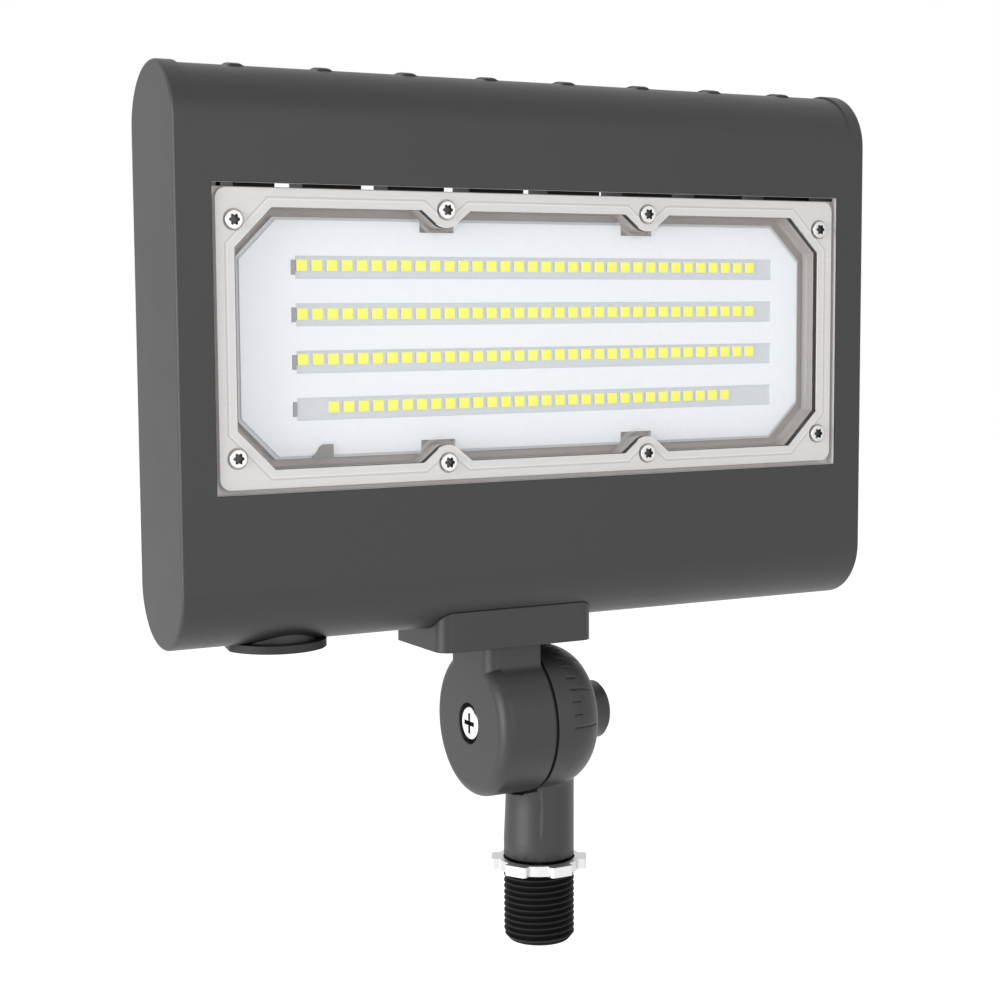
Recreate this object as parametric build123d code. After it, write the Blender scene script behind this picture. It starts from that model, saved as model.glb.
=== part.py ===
from build123d import *
from math import acos, atan2, cos, degrees, hypot, sin, sqrt
import os

# Outdoor LED flood light on a tilting knuckle with a pipe thread.
# Millimetres. +Z is up and the lit face looks towards -Y.
# The origin is on the axis of the pipe thread, at the stem's foot where the thread begins.

# Housing
HOUSING_W = 220.0
HOUSING_H = 154.5
HOUSING_D = 33.3
END_WALL = 5.0
END_EDGE = 1.0
WALL = 2.6
SKIN_STEP = 0.75
SKIN_REACH = 1.6
WINDOW_W = 200.0
WINDOW_H = 80.7
WINDOW_RISE = 4.95

# Compartment behind the window: depths are measured from the front plane
LENS_GAP = 1.3
LENS_FACE = 1.1
FLANGE_T = 2.3
FLANGE_BAND_X = 6.3
FLANGE_BAND_Z = 6.2
FLANGE_CORNER = 10.4
COMPARTMENT_TOP = 5.25
COMPARTMENT_FOOT = 2.65
FLOOR = 9.2
HEAT_PLATE = 4.0

# Heat fins behind and above the compartment
FIN_PITCH = 25.2
FIN_COUNT = 8
FIN_T = 2.6
FIN_CREST_BASE = 5.7
FIN_CREST_FRONT = 14.6
FIN_SLOT_FRONT = 25.0
AIR_SLOT_DROP = 16.3
PAD_REACH = 9.1
PAD_LEFT = 5.5
PAD_BACK = 21.5
PAD_BELOW = 3.4
PAD_ABOVE = 8.6

# Driver chamber and its back cover
CHAMBER_H = 65.6
OPENING_IN = 22.0
OPENING_DROP = 6.4
OPENING_H = 34.0
COVER_T = 2.0
COVER_IN = 12.0
COVER_RISE = 2.1
COVER_H = 51.0
COVER_EDGE = 1.0
COVER_CORNER = 4.0
COVER_GASKET_T = 1.0
COVER_GASKET_LIP = 0.5
COVER_GASKET_X = 2.4
COVER_GASKET_Z = 1.4
COVER_GASKET_CORNER = 1.0
COVER_SCREW_SIDE = 5.0
COVER_SCREW_IN = 4.25
COVER_BOSS_R = 4.0
COVER_BOSS_L = 9.0

# Screws: shank radius, hole clearances and head sizes
SCREW_R = 1.5
SCREW_HOLE = 0.2
PILOT_GAP = 0.05
LENS_HEAD_R = 2.5
LENS_HEAD_T = 1.6
LENS_HEAD_PROUD = 1.0
LENS_SCREW_SIDE = 6.15
LENS_SCREW_IN = 9.55
LENS_MID_X = 32.4
LENS_MID_IN = 6.03
LENS_SCREW_L = 9.2
SEAT_GAP = 0.4
STAR_R = 1.15
STAR_LOBE_R = 0.4
STAR_DEPTH = 1.0
PAN_HEAD_R = 3.5
PAN_HEAD_T = 2.2
DRILL_SPARE = 0.5

# Lens and its gasket
LENS_CORNER = 3.0
LENS_DIP = 0.5
SCALLOP_R = 4.82
SCALLOP_FLANK = 7.4
SKIRT_GAP = 0.6
SKIRT_T = 1.4
SKIRT_L = 2.8
GASKET_OUT = 2.55
GASKET_W = 1.8
GASKET_T = 1.2
GASKET_SCREW_R = 3.1
GROOVE_GAP = 0.05

# LED board, its packages and the reflector sheet
BOARD_GAP_X = 2.7
BOARD_GAP_Z = 2.15
BOARD_T = 1.6
SHEET_T = 0.5
SHEET_IN = 0.75
NOTCH_HALF = 5.3
NOTCH_GAP = 1.15
LED_SIZE = 3.0
LED_T = 0.7
LED_PITCH = 4.4
LED_COUNTS = (34, 34, 34, 30)
ROW_MIDDLE = 12.0
ROW_OUTER = 12.9
ROW_RISE = 0.45
SLOT_H = 6.1
SLOT_PITCH = 12.56
SLOT_LEFT = 74.4
SLOT_RIGHT = 80.9
CONNECTOR_L = 1.2
CONNECTOR_H = 3.8
CONNECTOR_GAP = 0.1
BOARD_SCREW_SIDE = 13.7
BOARD_SCREW_IN = 8.25
BOARD_HEAD_R = 2.8
BOARD_SCREW_L = 4.5
LEAD_SIDE = 26.3
LEAD_RISE = 4.05
LEAD_R = 1.3
LEAD_COVER_W = 6.0
LEAD_COVER_H = 3.4
LEAD_COVER_T = 0.8

# LED driver in the chamber
DRIVER_W = 140.0
DRIVER_H = 33.0
DRIVER_D = 15.0
DRIVER_EDGE = 1.5
DRIVER_DROP = 23.4
DRIVER_EAR_L = 10.0
DRIVER_EAR_T = 2.0
DRIVER_EAR_H = 14.0
DRIVER_EAR_RISE = 6.5
DRIVER_BOSS_R = 4.0
DRIVER_BOSS_L = 1.3
DRIVER_SCREW_L = 5.6

# Round port under the housing with its plug, whose rim has one flat
PORT_IN = 32.7
PORT_BACK = 2.35
PORT_PROUD = 1.85
PORT_FLANGE_R = 14.3
PORT_FLANGE_T = 2.2
PORT_FLAT = 13.2
PORT_FLAT_TURN = 168.0
PORT_SHANK_R = 8.0
PORT_SHANK_L = 15.0
PORT_GAP = 0.2
PORT_BOSS_R = 11.6
PORT_PAD = 8.4
PORT_PAD_EDGE = 0.5
PORT_NUT_AF = 18.0
PORT_NUT_T = 3.5
PORT_SEAL_R = 10.6
PORT_SEAL_T = 1.0
PORT_SLOT_L = 13.0
PORT_SLOT_W = 2.0
PORT_SLOT_DEPTH = 1.1

# Knuckle: plate, discs, clamp screw and stem
PIVOT_Z = 41.6
DISC_R = 21.6
DISC_T = 17.0
JOINT_X = -6.4
JOINT_GAP = 1.1
DISC_EDGE = 3.8
NECK_W = 25.2
NECK_FILLET = 3.0
HEAD_FORWARD = 3.15
PLATE_W = 49.8
PLATE_D = 31.0
PLATE_CORNER = 4.0
PLATE_CLEAR = 2.5
PLATE_TOP = 11.6
SADDLE_WEB = 6.0
SADDLE_GAP = 0.5
SADDLE_RIM_GAP = 0.1
SADDLE_INSET = 1.6
SADDLE_SCREW_X = 17.0
SADDLE_SCREW_Y = 7.0
SADDLE_SCREW_R = 2.0
SADDLE_HEAD_R = 3.5
SADDLE_HEAD_T = 2.8
SADDLE_PAD_H = 7.7
SADDLE_PAD_EDGE = 5.0
SADDLE_FLOOR = 1.2
BOSS_R = 7.0
CAVITY_R = 15.0
CAVITY_WALL = 6.4
WIRE_R = 6.5
CLAMP_R = 3.0
CLAMP_GAP = 0.3
CLAMP_HEAD_R = 4.9
CLAMP_HEAD_T = 3.6
CLAMP_RECESS_R = 6.1
CLAMP_RECESS = 4.4
CLAMP_HEAD_SUNK = 0.2
CLAMP_WASHER_R = 5.8
CLAMP_WASHER_GAP = 0.2
CLAMP_TIP = 0.15
CROSS_L = 6.0
CROSS_W = 1.3
CROSS_DEPTH = 2.0
CLAMP_NUT_AF = 10.0
CLAMP_NUT_T = 5.0
CLAMP_NUT_SUNK = 0.4
CLAMP_NUT_GAP = 0.1
THREAD_GAP = 0.05
SEAL_IN = 16.2
SEAL_OUT = 20.6
SEAL_SLACK = 0.05
RIM_T = 4.97
DOME_A = 11.83
DOME_B = 8.12
END_BOSS_R = 8.57
END_BOSS_L = 8.85
END_BOSS_EDGE = 1.0
MARK_STEP = 10
MARK_LONG_STEP = 30
MARK_W = 0.35
MARK_DEPTH = 0.35
MARK_LEAD = 0.13
MARK_SHORT = 3.0
STEM_R = 10.45
STEM_DRAFT = 0.1
STEM_BORE_R = 7.0
STEM_BORE_TOP = 17.0
STEM_WIRE_R = 4.9
STEM_CLEAR = 0.7
WAIST_X = -4.2
WAIST_LOW = 4.8
WAIST_Z = 17.6
WAIST_TOP = 23.0
WAIST_DEPTH = 0.6

# Pipe thread and locknut
THREAD_PITCH = 1.8143
THREAD_R = STEM_R
THREAD_ROOT_R = 9.35
THREAD_END = 25.7
THREAD_TIP = 1.9
TIP_R = 8.9
CREST_W = 0.3
ROOT_W = 0.2
RELIEF_W = 1.5
RUN_OUT = 0.2
RUN_OUT_TURNS = 2
NUT_TOP = 0.95
NUT_T = 3.05
NUT_R = 12.2
NUT_LUG_R = 14.1
NUT_LUG_W = 7.2
NUT_LUG_EDGE = 0.6
NUT_LUGS = 6
NUT_TURN = -90.0
NUT_GAP = 0.15

# Places worked out from the sizes above
HEAD_X = JOINT_X
FRONT_Y = -(HOUSING_D / 2 + HEAD_FORWARD)
PLATE_Z = PIVOT_Z + DISC_R + PLATE_CLEAR
HOUSING_BOTTOM_Z = PLATE_Z + SADDLE_WEB
WINDOW_Z = HOUSING_BOTTOM_Z + HOUSING_H / 2 + WINDOW_RISE
END_R = HOUSING_D / 2
TOP = HOUSING_H / 2 - WINDOW_RISE
BOTTOM = TOP - HOUSING_H
INNER_X = HOUSING_W / 2 - END_WALL
SKIN_R = END_R - SKIN_STEP
ARC_TOP = TOP - END_R
ARC_BOTTOM = BOTTOM + END_R
LEDGE = LENS_FACE + FLANGE_T
BACK_WALL = HOUSING_D - WALL
PLATE_BACK = FLOOR + HEAT_PLATE
CAVITY_X = WINDOW_W / 2 - FLANGE_BAND_X
CAVITY_Z = WINDOW_H / 2 - FLANGE_BAND_Z
BOARD_FACE = FLOOR - BOARD_T
SHEET_FACE = BOARD_FACE - SHEET_T
BLOCK_TOP = CAVITY_Z + COMPARTMENT_TOP
BLOCK_FOOT = -WINDOW_H / 2 - COMPARTMENT_FOOT
AIR_SLOT_TOP = TOP - AIR_SLOT_DROP
CHAMBER_TOP = BOTTOM + CHAMBER_H
OPENING_W = HOUSING_W - 2 * OPENING_IN
OPENING_TOP = CHAMBER_TOP - OPENING_DROP
COVER_W = HOUSING_W - 2 * COVER_IN
COVER_TOP = CHAMBER_TOP + COVER_RISE
COVER_SCREW_X = COVER_W / 2 - COVER_SCREW_SIDE
LENS_SCREW_X = WINDOW_W / 2 - LENS_SCREW_SIDE
LENS_SCREW_Z = WINDOW_H / 2 - LENS_SCREW_IN
LENS_MID_Z = WINDOW_H / 2 - LENS_MID_IN
BOARD_SCREW_X = CAVITY_X - BOARD_SCREW_SIDE
BOARD_SCREW_Z = CAVITY_Z - BOARD_SCREW_IN
LEAD_X = LEAD_SIDE - CAVITY_X
LEAD_Z = LEAD_RISE - CAVITY_Z
DRIVER_CENTRE = CHAMBER_TOP - DRIVER_DROP
DRIVER_EAR_Z = DRIVER_CENTRE + DRIVER_EAR_RISE
PORT_X = PORT_IN - HOUSING_W / 2
PORT_Y = END_R + PORT_BACK
PORT_FACE = BOTTOM - PORT_PROUD
PORT_SEAT = PORT_FACE + PORT_FLANGE_T
PORT_PAD_Z = PORT_SEAT + PORT_PAD
COVER_GASKET_FACE = HOUSING_D - COVER_GASKET_T
UPPER_LEFT = JOINT_X - DISC_T
PLATE_X = JOINT_X - DISC_T / 2
SADDLE_PAD_Z = HOUSING_BOTTOM_Z + SADDLE_PAD_H
SADDLE_Y = FRONT_Y + END_R
SADDLE_Z = WINDOW_Z + ARC_BOTTOM
SADDLE_R = END_R + SADDLE_GAP
LOWER_LEFT = JOINT_X + JOINT_GAP
DOME_X = LOWER_LEFT + RIM_T
DOME_END = DOME_X + DOME_A
END_BOSS_X = DOME_END + END_BOSS_L
CLAMP_SEAT = UPPER_LEFT + CLAMP_RECESS
CLAMP_HEAD_X = UPPER_LEFT + CLAMP_HEAD_SUNK
CLAMP_NUT_X = END_BOSS_X - CLAMP_NUT_SUNK - CLAMP_NUT_T
HEAD = Pos(HEAD_X, FRONT_Y, WINDOW_Z)


def block(x0, x1, y0, y1, z0, z1):
    """Block between two corners."""
    corner = (Align.MIN, Align.MIN, Align.MIN)
    return Pos(x0, y0, z0) * Box(x1 - x0, y1 - y0, z1 - z0, align=corner)


def rod(radius, length):
    """Round bar from the origin up +Z."""
    return Cylinder(radius, length, align=(Align.CENTER, Align.CENTER, Align.MIN))


def rod_x(radius, x0, x1, y=0, z=0):
    return Pos(x0, y, z) * Rot(0, 90, 0) * rod(radius, x1 - x0)


def rod_y(radius, y0, y1, x=0, z=0):
    return Pos(x, y0, z) * Rot(-90, 0, 0) * rod(radius, y1 - y0)


def rod_z(radius, z0, z1, x=0, y=0):
    return Pos(x, y, z0) * rod(radius, z1 - z0)


def slab(sketch, y0, y1):
    """Flat sketch (x right, y up) extruded from depth y0 back to y1."""
    return Pos(0, y1, 0) * extrude(Plane.XZ * sketch, amount=y1 - y0)


def bar(sketch, x0, x1):
    """Side sketch (x towards the back, y up) extruded from x0 to x1."""
    return Pos(x0, 0, 0) * extrude(Plane.YZ * sketch, amount=x1 - x0)


def rect(x0, x1, y0, y1):
    """Rectangle sketch between two corners."""
    return Pos((x0 + x1) / 2, (y0 + y1) / 2) * Rectangle(x1 - x0, y1 - y0)


def corners(x, z):
    """The four places that mirror one place in both middle lines."""
    return [(sx * x, sz * z) for sx in (-1, 1) for sz in (-1, 1)]


def hexagon(across_flats):
    return RegularPolygon(across_flats / sqrt(3), 6)


# Shared outlines of the compartment, in the head's frame: origin at the window's centre
# on the front plane

def window_outline(grow, scallop_r):
    """Opening with 45 degree corners and a scallop round each middle screw."""
    half_x = CAVITY_X + grow
    half_z = CAVITY_Z + grow
    leg = FLANGE_CORNER + grow * (2 - sqrt(2))
    outline = Rectangle(2 * half_x, 2 * half_z)
    outline = chamfer(outline.vertices(), leg)
    for x, z in corners(LENS_MID_X, LENS_MID_Z):
        outline -= scallop(x, z, half_z, scallop_r)
    return outline


def scallop(x, z, half_z, radius):
    """Round screw boss outline with straight flanks out to the opening's edge."""
    side = 1 if z > 0 else -1
    drop = LENS_MID_Z - half_z
    reach = hypot(SCALLOP_FLANK, drop)
    turn = acos(radius / reach) + atan2(drop, SCALLOP_FLANK)
    foot_x = radius * cos(turn)
    foot_z = -radius * sin(turn)
    flank_z = LENS_GAP + half_z - LENS_MID_Z
    points = [
        (-SCALLOP_FLANK, flank_z), (-SCALLOP_FLANK, -drop), (-foot_x, foot_z),
        (foot_x, foot_z), (SCALLOP_FLANK, -drop), (SCALLOP_FLANK, flank_z),
    ]
    shape = Circle(radius) + make_face(Polyline(*points, close=True))
    return Pos(x, z) * (shape if side > 0 else Rot(0, 0, 180) * shape)


def lens_screw_places():
    return corners(LENS_SCREW_X, LENS_SCREW_Z) + corners(LENS_MID_X, LENS_MID_Z)


def cover_screw_places():
    low = COVER_TOP - COVER_H + COVER_SCREW_IN
    high = COVER_TOP - COVER_SCREW_IN
    return [(x, z) for x in (-COVER_SCREW_X, 0, COVER_SCREW_X) for z in (low, high)]


def saddle_screw_places():
    return [
        (PLATE_X + sx * SADDLE_SCREW_X, SADDLE_Y + sy * SADDLE_SCREW_Y)
        for sx in (-1, 1) for sy in (-1, 1)
    ]


def board_screw_places():
    return [(x, z) for x in (-BOARD_SCREW_X, 0, BOARD_SCREW_X)
            for z in (-BOARD_SCREW_Z, BOARD_SCREW_Z)]


def led_rows():
    """Height and package count of each row, from the top row down."""
    inner = ROW_MIDDLE / 2
    outer = inner + ROW_OUTER
    heights = [ROW_RISE + rise for rise in (outer, inner, -inner, -outer)]
    return list(zip(heights, LED_COUNTS))


def slot_heights():
    return [SLOT_PITCH * step for step in (1.5, 0.5, -0.5, -1.5)]


def fin_places():
    return [FIN_PITCH * (step - (FIN_COUNT - 1) / 2) for step in range(FIN_COUNT)]


def stadium():
    """Side outline of the housing: flat front and back, full round top and bottom."""
    middle = (TOP + BOTTOM) / 2
    return Pos(END_R, middle) * SlotOverall(HOUSING_H, HOUSING_D, rotation=90)


# Housing

def end_wall(side):
    wall = bar(stadium(), INNER_X, HOUSING_W / 2)
    wall = fillet(wall.edges().group_by(Axis.X)[-1], END_EDGE)
    return wall if side > 0 else mirror(wall, Plane.YZ)


def shell_section():
    """Front plate, top skin, rounded bottom and chamber back in one section."""
    skin_end = SKIN_R + SKIN_REACH
    crest = ARC_TOP + SKIN_R
    outer = (
        Line((0, ARC_BOTTOM), (0, ARC_TOP))
        + CenterArc((SKIN_R, ARC_TOP), SKIN_R, 180, -90)
        + Line((SKIN_R, crest), (skin_end, crest))
        + Line((skin_end, crest), (skin_end, crest - WALL))
        + Line((skin_end, crest - WALL), (SKIN_R, crest - WALL))
        + CenterArc((SKIN_R, ARC_TOP), SKIN_R - WALL, 90, 90)
        + Line((WALL, ARC_TOP), (WALL, ARC_BOTTOM))
        + CenterArc((END_R, ARC_BOTTOM), END_R - WALL, 180, 180)
        + Line((BACK_WALL, ARC_BOTTOM), (BACK_WALL, CHAMBER_TOP))
        + Line((BACK_WALL, CHAMBER_TOP), (BACK_WALL, CHAMBER_TOP + WALL))
        + Line((BACK_WALL, CHAMBER_TOP + WALL), (HOUSING_D, CHAMBER_TOP + WALL))
        + Line((HOUSING_D, CHAMBER_TOP + WALL), (HOUSING_D, ARC_BOTTOM))
        + CenterArc((END_R, ARC_BOTTOM), END_R, 0, -180)
    )
    return make_face(outer)


def fin_section():
    """A fin runs from the chamber to the crest and stands clear of the air slot."""
    low = CHAMBER_TOP + WALL
    back = stadium() & rect(FIN_CREST_FRONT, HOUSING_D, low, TOP)
    foot = rect(PLATE_BACK, FIN_CREST_FRONT, low, BLOCK_TOP)
    under_skin = Pos(SKIN_R, ARC_TOP) * Circle(SKIN_R - WALL / 2)
    nose = under_skin & rect(WALL / 2, FIN_CREST_FRONT, AIR_SLOT_TOP, TOP)
    air_slot = rect(0, FIN_SLOT_FRONT, BLOCK_TOP, AIR_SLOT_TOP)
    return back + foot + nose - air_slot


def fin_crest(x):
    """Wider root where a fin breaks through the top skin."""
    base = FIN_CREST_BASE / 2
    tip = FIN_T / 2
    low = SKIN_R - WALL / 2
    high = END_R
    ridge = Polyline((x - base, low), (x - base, SKIN_R), (x - tip, high),
                     (x + tip, high), (x + base, SKIN_R), (x + base, low), close=True)
    start = degrees(acos((END_R - FIN_CREST_FRONT) / END_R))
    stop = degrees(acos((END_R - SKIN_R - SKIN_REACH) / END_R))
    swept = revolve(Plane.XY * make_face(ridge), Axis.X, stop - start)
    return Pos(0, END_R, ARC_TOP) * Rot(180 - start, 0, 0) * swept


def make_housing():
    shell = bar(shell_section(), -INNER_X, INNER_X)
    half_w = WINDOW_W / 2
    half_h = WINDOW_H / 2
    shell -= block(-half_w, half_w, -1, LEDGE, -half_h, half_h)
    compartment = block(-INNER_X, INNER_X, WALL / 2, PLATE_BACK, BLOCK_FOOT, BLOCK_TOP)
    compartment -= block(-half_w, half_w, -1, LEDGE, -half_h, half_h)
    compartment -= slab(window_outline(0, SCALLOP_R), LEDGE, FLOOR)
    body = shell + compartment
    roof = block(-INNER_X, INNER_X, PLATE_BACK - 1, BACK_WALL + 1,
                 CHAMBER_TOP, CHAMBER_TOP + WALL)
    body += roof
    fin = fin_section()
    for number, x in enumerate(fin_places()):
        body += bar(fin, x - FIN_T / 2, x + FIN_T / 2)
        body += fin_crest(x)
        left = PAD_LEFT if number else 0
        body += block(x - FIN_T / 2 - left, x + FIN_T / 2 + PAD_REACH,
                      PLATE_BACK - 1, PAD_BACK,
                      BLOCK_TOP - PAD_BELOW, BLOCK_TOP + PAD_ABOVE)
    for side in (-1, 1):
        body += end_wall(side)
    body = chamber_details(body)
    body = port_details(body)
    body = saddle_details(body)
    groove = gasket_ring(GROOVE_GAP)
    body -= slab(groove, LEDGE, LEDGE + GASKET_T)
    pilot = SCREW_R + PILOT_GAP
    depth = LENS_FACE - LENS_HEAD_PROUD + LENS_HEAD_T + LENS_SCREW_L + DRILL_SPARE
    for x, z in lens_screw_places():
        body -= rod_y(pilot, LEDGE, depth, x, z)
    for x, z in board_screw_places():
        body -= rod_y(pilot, FLOOR, BOARD_FACE + BOARD_SCREW_L + DRILL_SPARE, x, z)
    body -= rod_y(LEAD_R, FLOOR - 1, PLATE_BACK + 1, LEAD_X, LEAD_Z)
    return body


def chamber_details(body):
    """Bosses for the driver, opening for the cover with its screw bosses and groove."""
    for side in (-1, 1):
        x = side * driver_screw_x()
        body += rod_y(DRIVER_BOSS_R, PLATE_BACK - 1, PLATE_BACK + DRIVER_BOSS_L,
                      x, DRIVER_EAR_Z)
        depth = PLATE_BACK + DRIVER_BOSS_L + DRIVER_EAR_T - DRIVER_SCREW_L - DRILL_SPARE
        body -= rod_y(SCREW_R + PILOT_GAP, depth, PLATE_BACK + DRIVER_BOSS_L,
                      x, DRIVER_EAR_Z)
    for x, z in cover_screw_places():
        body += rod_y(COVER_BOSS_R, HOUSING_D - COVER_BOSS_L, HOUSING_D, x, z)
    half = OPENING_W / 2
    body -= block(-half, half, BACK_WALL - 1, HOUSING_D + 1,
                  OPENING_TOP - OPENING_H, OPENING_TOP)
    body -= slab(cover_gasket_ring(GROOVE_GAP), COVER_GASKET_FACE, HOUSING_D)
    for x, z in cover_screw_places():
        body -= rod_y(SCREW_R + PILOT_GAP, HOUSING_D - COVER_BOSS_L + 1, HOUSING_D, x, z)
    return body


def port_details(body):
    """Round boss under the housing with a flat seat outside and a flat pad inside."""
    pad_r = PORT_NUT_AF / sqrt(3) + PORT_PAD_EDGE
    wall_middle = Pos(END_R, ARC_BOTTOM) * Circle(END_R - WALL / 2)
    inside = bar(wall_middle, PORT_X - 2 * pad_r, PORT_X + 2 * pad_r)
    solid = rod_z(PORT_BOSS_R, PORT_SEAT, ARC_BOTTOM, PORT_X, PORT_Y)
    body += solid - inside
    body += rod_z(pad_r, BOTTOM, PORT_PAD_Z, PORT_X, PORT_Y) & inside
    body -= rod_z(PORT_FLANGE_R + PORT_GAP, PORT_FACE, PORT_SEAT, PORT_X, PORT_Y)
    body -= rod_z(PORT_SHANK_R + PORT_GAP, PORT_FACE, PORT_PAD_Z + WALL, PORT_X, PORT_Y)
    return body


def saddle_details(body):
    """Flat pad inside the bottom wall, with the screw holes and the way for the wires."""
    reach = SADDLE_SCREW_X + SADDLE_PAD_EDGE
    pad = block(PLATE_X - HEAD_X - reach, PLATE_X - HEAD_X + reach,
                0, HOUSING_D, BOTTOM, SADDLE_PAD_Z - WINDOW_Z)
    pad &= bar(Pos(END_R, ARC_BOTTOM) * Circle(END_R - WALL / 2), -INNER_X, INNER_X)
    body += pad
    for x, y in saddle_screw_places():
        body -= rod_z(SADDLE_SCREW_R + SCREW_HOLE, BOTTOM - 1, SADDLE_PAD_Z - WINDOW_Z,
                      x - HEAD_X, y - FRONT_Y)
    body -= rod_z(WIRE_R, BOTTOM - 1, SADDLE_PAD_Z - WINDOW_Z,
                  PLATE_X - HEAD_X, -FRONT_Y)
    return body


# Pieces of the head

def cover_gasket_ring(slack):
    """Ring between the opening's edge and the cover screws."""
    middle = OPENING_TOP - OPENING_H / 2
    inner_w = OPENING_W + 2 * COVER_GASKET_LIP
    inner_h = OPENING_H + 2 * COVER_GASKET_LIP
    corner = COVER_GASKET_CORNER
    inner = RectangleRounded(inner_w - 2 * slack, inner_h - 2 * slack, corner)
    outer_w = inner_w + 2 * (COVER_GASKET_X + slack)
    outer_h = inner_h + 2 * (COVER_GASKET_Z + slack)
    return Pos(0, middle) * (RectangleRounded(outer_w, outer_h, 2 * corner) - inner)


def make_back_cover():
    middle = COVER_TOP - COVER_H / 2
    sheet = Pos(0, middle) * RectangleRounded(COVER_W, COVER_H, COVER_CORNER)
    cover = slab(sheet, HOUSING_D, HOUSING_D + COVER_T)
    cover = chamfer(cover.edges().group_by(Axis.Y)[-1], COVER_EDGE)
    for x, z in cover_screw_places():
        cover -= rod_y(SCREW_R + SCREW_HOLE, HOUSING_D, HOUSING_D + COVER_T, x, z)
    return cover


def make_cover_gasket():
    return slab(cover_gasket_ring(0), COVER_GASKET_FACE, HOUSING_D)


def pan_screw(length):
    """Pan-head screw with a cross recess: head seat at the origin, shank down -Z."""
    screw = rod(PAN_HEAD_R, PAN_HEAD_T)
    screw = fillet(screw.edges().group_by(Axis.Z)[-1], PAN_HEAD_T / 3)
    screw += Pos(0, 0, -length) * rod(SCREW_R, length)
    return screw - Pos(0, 0, PAN_HEAD_T) * cross_recess(PAN_HEAD_R, PAN_HEAD_T / 2)


def cross_recess(length, depth):
    """Two crossed slots, cut down from the origin."""
    slot = Box(length, length / 4, 2 * depth)
    return slot + Rot(0, 0, 90) * slot


def make_cover_screws():
    screw = Rot(-90, 0, 0) * pan_screw(COVER_BOSS_L + COVER_T - 1 - DRILL_SPARE)
    return [Pos(x, HOUSING_D + COVER_T, z) * screw for x, z in cover_screw_places()]


def driver_screw_x():
    return DRIVER_W / 2 + DRIVER_EAR_L / 2


def make_led_driver():
    front = PLATE_BACK + DRIVER_BOSS_L
    low = DRIVER_CENTRE - DRIVER_H / 2
    half = DRIVER_W / 2
    case = block(-half, half, front, front + DRIVER_D, low, low + DRIVER_H)
    case = fillet(case.edges(), DRIVER_EDGE)
    ear_low = DRIVER_EAR_Z - DRIVER_EAR_H / 2
    reach = half + DRIVER_EAR_L
    case += block(-reach, reach, front, front + DRIVER_EAR_T,
                  ear_low, ear_low + DRIVER_EAR_H)
    for side in (-1, 1):
        case -= rod_y(SCREW_R + SCREW_HOLE, front - 1, front + DRIVER_EAR_T,
                      side * driver_screw_x(), DRIVER_EAR_Z)
    return case


def make_driver_screws():
    seat = PLATE_BACK + DRIVER_BOSS_L + DRIVER_EAR_T
    screw = Rot(-90, 0, 0) * pan_screw(DRIVER_SCREW_L)
    return [Pos(side * driver_screw_x(), seat, DRIVER_EAR_Z) * screw for side in (-1, 1)]


def board_outline(inset):
    """Board or sheet with cut corners and square notches round the middle bosses."""
    half_x = CAVITY_X - BOARD_GAP_X - inset
    half_z = CAVITY_Z - BOARD_GAP_Z - inset
    outline = chamfer(Rectangle(2 * half_x, 2 * half_z).vertices(), FLANGE_CORNER)
    reach = LENS_MID_Z - SCALLOP_R - NOTCH_GAP
    for x, z in corners(LENS_MID_X, 1):
        low = min(z * reach, z * (CAVITY_Z + 1))
        high = max(z * reach, z * (CAVITY_Z + 1))
        outline -= rect(x - NOTCH_HALF, x + NOTCH_HALF, low, high)
    return outline


def make_led_board():
    board = slab(board_outline(0), BOARD_FACE, FLOOR)
    for x, z in board_screw_places():
        board -= rod_y(SCREW_R + SCREW_HOLE, BOARD_FACE - 1, FLOOR + 1, x, z)
        board -= Pos(x, BOARD_FACE, z) * board_screw_head(SCREW_HOLE)
    return board - rod_y(LEAD_R, BOARD_FACE - 1, FLOOR + 1, LEAD_X, LEAD_Z)


def board_screw_head(slack):
    """Countersunk head from the board's face backwards."""
    depth = BOARD_HEAD_R - SCREW_R
    cone = Cone(BOARD_HEAD_R + slack, SCREW_R + slack, depth,
                align=(Align.CENTER, Align.CENTER, Align.MIN))
    return Rot(-90, 0, 0) * cone


def make_board_screws():
    screws = []
    for x, z in board_screw_places():
        screw = Pos(x, BOARD_FACE, z) * board_screw_head(0)
        shank = rod_y(SCREW_R, BOARD_FACE + BOARD_HEAD_R - SCREW_R,
                      BOARD_FACE + BOARD_SCREW_L, x, z)
        screws.append(screw + shank)
    return screws


def make_led_packages():
    """Square packages at one pitch, each row centred on the window."""
    packages = []
    for height, count in led_rows():
        for step in range(count):
            x = LED_PITCH * (step - (count - 1) / 2)
            half = LED_SIZE / 2
            packages.append(block(x - half, x + half, BOARD_FACE - LED_T, BOARD_FACE,
                                  height - half, height + half))
    return packages


def make_row_connectors():
    half = CONNECTOR_H / 2
    left = -SLOT_LEFT - CONNECTOR_L
    return [block(left, -SLOT_LEFT, SHEET_FACE, BOARD_FACE, z - half, z + half)
            for z in slot_heights()]


def make_reflector_sheet():
    sheet = board_outline(SHEET_IN)
    half = CONNECTOR_H / 2 + CONNECTOR_GAP
    for z in slot_heights():
        sheet -= rect(-SLOT_LEFT, SLOT_RIGHT, z - SLOT_H / 2, z + SLOT_H / 2)
        sheet -= rect(-SLOT_LEFT - CONNECTOR_L - CONNECTOR_GAP, 0, z - half, z + half)
    sheet -= Pos(LEAD_X, LEAD_Z) * Circle(LEAD_R)
    return slab(sheet, SHEET_FACE, BOARD_FACE)


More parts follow.
